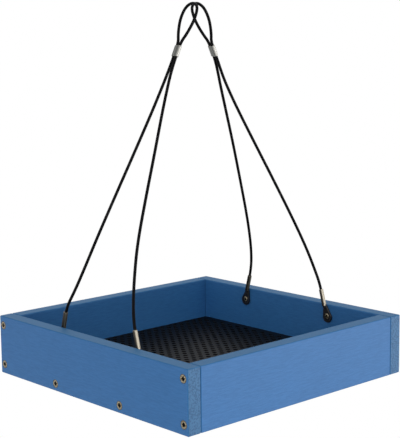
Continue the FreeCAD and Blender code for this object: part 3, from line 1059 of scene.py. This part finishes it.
class FEEDER_OT_fittings(bpy.types.Operator):
    """Finish the black eyes, the crimp sleeves and the loop ferrules"""

    bl_idname = "feeder.fittings"
    bl_label = "Eyes, sleeves and ferrules"

    def execute(self, context):
        finish = context.scene.feeder_metal
        black = coated_eye(finish)
        # Lit and shaded copies of one metal: the front sleeves bright, the back ones
        # darker
        sleeves = {
            end: drawn_aluminium(
                f"drawn_aluminium_{end}_sleeve",
                SLEEVE_LEAN,
                0,
                bright,
                finish.sleeve_side_shade,
            )
            for end, bright in (
                ("front", finish.front_sleeve_lit),
                ("back", finish.back_sleeve_shaded),
            )
        }
        ferrule = drawn_aluminium(
            "drawn_aluminium_ferrule",
            -FERRULE_LEAN,
            1,
            finish.ferrule,
            finish.ferrule_side_shade,
        )
        for side in SIDES:
            coat_node(f"{side}_loop_ferrule", ferrule)
            for end in ENDS:
                coat_node(f"{side}_{end}_cable_eye", black)
                coat_node(f"{side}_{end}_cable_sleeve", sleeves[end])
        return {"FINISHED"}


def place_camera(scene):
    """Camera at the photograph's viewing angle"""
    data = bpy.data.cameras.new("camera")
    data.sensor_width = SENSOR
    data.lens = FOCAL_PIXELS * SENSOR / PICTURE_HEIGHT
    camera = bpy.data.objects.new("camera", data)
    scene.collection.objects.link(camera)
    turn = (
        Matrix.Rotation(math.radians(CAMERA_AZIMUTH), 4, "Z")
        @ Matrix.Rotation(math.radians(90 - CAMERA_ELEVATION), 4, "X")
        @ Matrix.Rotation(math.radians(CAMERA_ROLL), 4, "Z")
    )
    camera.matrix_world = Matrix.Translation(CAMERA_PLACE) @ turn
    scene.camera = camera


def add_softbox(name, place, aim, size, power):
    """Large rectangular lamp that faces a point"""
    data = bpy.data.lights.new(name, "AREA")
    data.shape = "RECTANGLE"
    data.size, data.size_y = size
    data.energy = power
    lamp = bpy.data.objects.new(name, data)
    bpy.context.scene.collection.objects.link(lamp)
    lamp.location = place
    towards = Vector(aim) - Vector(place)
    lamp.rotation_euler = towards.to_track_quat("-Z", "Y").to_euler()


def seen_directly(tree):
    """Socket that is 1 for rays that show a surface, in a mirror or glass too"""
    path = add_node(tree, "ShaderNodeLightPath", {}, {})
    mirrored = add_node(tree, "ShaderNodeMath", {"operation": "MAXIMUM"}, {
        0: path.outputs["Is Glossy Ray"],
        1: path.outputs["Is Transmission Ray"],
    })
    return add_node(tree, "ShaderNodeMath", {"operation": "MAXIMUM"}, {
        0: path.outputs["Is Camera Ray"],
        1: mirrored.outputs[0],
    }).outputs[0]


def white_surround(scene, ambient):
    """World that shows white and gives an even soft light"""
    world = bpy.data.worlds.new("studio")
    world.use_nodes = True
    tree = world.node_tree
    tree.nodes.clear()
    level = add_node(tree, "ShaderNodeMapRange", {}, {
        "Value": seen_directly(tree),
        "To Min": ambient,
        "To Max": 1.0,
    })
    shade = add_node(tree, "ShaderNodeBackground", {}, {
        "Color": (1.0, 1.0, 1.0, 1.0),
        "Strength": level.outputs[0],
    })
    add_node(tree, "ShaderNodeOutputWorld", {}, {"Surface": shade.outputs[0]})
    scene.world = world


def pale_floor(height):
    """Wide matt floor that shows near white but keeps a soft shadow"""
    mesh = bpy.data.meshes.new("studio_floor")
    corners = [
        (x * FLOOR_REACH, y * FLOOR_REACH, height)
        for x, y in ((-1, -1), (1, -1), (1, 1), (-1, 1))
    ]
    mesh.from_pydata(corners, [], [(0, 1, 2, 3)])
    floor = bpy.data.objects.new("studio_floor", mesh)
    bpy.context.scene.collection.objects.link(floor)
    # Matt painted board, lit a little short of white; its glow makes up the rest
    material = bpy.data.materials.new("matt_white_board")
    material.use_nodes = True
    tree = material.node_tree
    tree.nodes.clear()
    matt = add_node(tree, "ShaderNodeBsdfDiffuse", {}, {"Color": linear("F2F2F2")})
    glow = add_node(tree, "ShaderNodeEmission", {}, {"Color": (1.0, 1.0, 1.0, 1.0)})
    seen = seen_directly(tree)
    share = add_node(tree, "ShaderNodeMath", {"operation": "MULTIPLY"}, {
        0: seen,
        1: FLOOR_GLOW,
    })
    mixed = add_node(tree, "ShaderNodeMixShader", {}, {
        0: share.outputs[0],
        1: matt.outputs[0],
        2: glow.outputs[0],
    })
    # Away from the feeder's shadow the seen floor fades into the white behind it
    place = object_space(tree)
    level = add_node(tree, "ShaderNodeVectorMath", {"operation": "MULTIPLY"}, {
        0: place,
        1: (1.0, 1.0, 0.0),
    })
    distance = add_node(tree, "ShaderNodeVectorMath", {"operation": "LENGTH"}, {
        0: level.outputs[0],
    })
    far = add_node(tree, "ShaderNodeMapRange", {"interpolation_type": "SMOOTHSTEP"}, {
        "Value": distance.outputs["Value"],
        "From Min": SHADOW_REACH[0],
        "From Max": SHADOW_REACH[1],
    })
    clear = add_node(tree, "ShaderNodeBsdfTransparent", {}, {})
    faded = add_node(tree, "ShaderNodeMixShader", {}, {
        0: add_node(tree, "ShaderNodeMath", {"operation": "MULTIPLY"}, {
            0: far.outputs[0],
            1: seen,
        }).outputs[0],
        1: mixed.outputs[0],
        2: clear.outputs[0],
    })
    add_node(tree, "ShaderNodeOutputMaterial", {}, {"Surface": faded.outputs[0]})
    mesh.materials.append(material)


class FEEDER_OT_stage(bpy.types.Operator):
    """Set up the camera, the soft lights and the pale floor"""

    bl_idname = "feeder.stage"
    bl_label = "Studio"

    def execute(self, context):
        scene = context.scene
        studio = scene.feeder_studio
        scene.view_settings.view_transform = "Standard"
        place_camera(scene)
        white_surround(scene, studio.ambient)
        pale_floor(CAD_BOX[0].z - studio.floor_drop)
        for softbox in SOFTBOXES:
            add_softbox(*softbox)
        return {"FINISHED"}


class FEEDER_PT_panel(bpy.types.Panel):
    """Sidebar list of the feeder's pieces and settings"""

    bl_label = "Platform feeder"
    bl_idname = "FEEDER_PT_panel"
    bl_space_type = "VIEW_3D"
    bl_region_type = "UI"
    bl_category = "Feeder"

    def draw(self, context):
        for name, operator in STEPS:
            self.layout.operator(operator.bl_idname)
            settings = getattr(context.scene, name)
            for key in settings.__annotations__:
                self.layout.prop(settings, key)


# Settings and operator of each step, in the order in which they run
STEPS = (
    ("feeder_cables", FEEDER_OT_cables),
    ("feeder_boards", FEEDER_OT_boards),
    ("feeder_floor", FEEDER_OT_floor),
    ("feeder_metal", FEEDER_OT_screws),
    ("feeder_metal", FEEDER_OT_fittings),
    ("feeder_studio", FEEDER_OT_stage),
)
SETTINGS = {
    "feeder_cables": CableFinish,
    "feeder_boards": BoardFinish,
    "feeder_floor": FloorFinish,
    "feeder_metal": MetalFinish,
    "feeder_studio": StudioSettings,
}


def register():
    for name, group in SETTINGS.items():
        bpy.utils.register_class(group)
        setattr(bpy.types.Scene, name, PointerProperty(type=group))
    for _, operator in STEPS:
        bpy.utils.register_class(operator)
    bpy.utils.register_class(FEEDER_PT_panel)


def unregister():
    bpy.utils.unregister_class(FEEDER_PT_panel)
    for _, operator in STEPS:
        bpy.utils.unregister_class(operator)
    for name, group in SETTINGS.items():
        delattr(bpy.types.Scene, name)
        bpy.utils.unregister_class(group)


def main():
    """Register the add-on, then build every piece and the studio"""
    register()
    for _, operator in STEPS:
        group, action = operator.bl_idname.split(".")
        getattr(getattr(bpy.ops, group), action)()


if __name__ == "__main__":
    main()
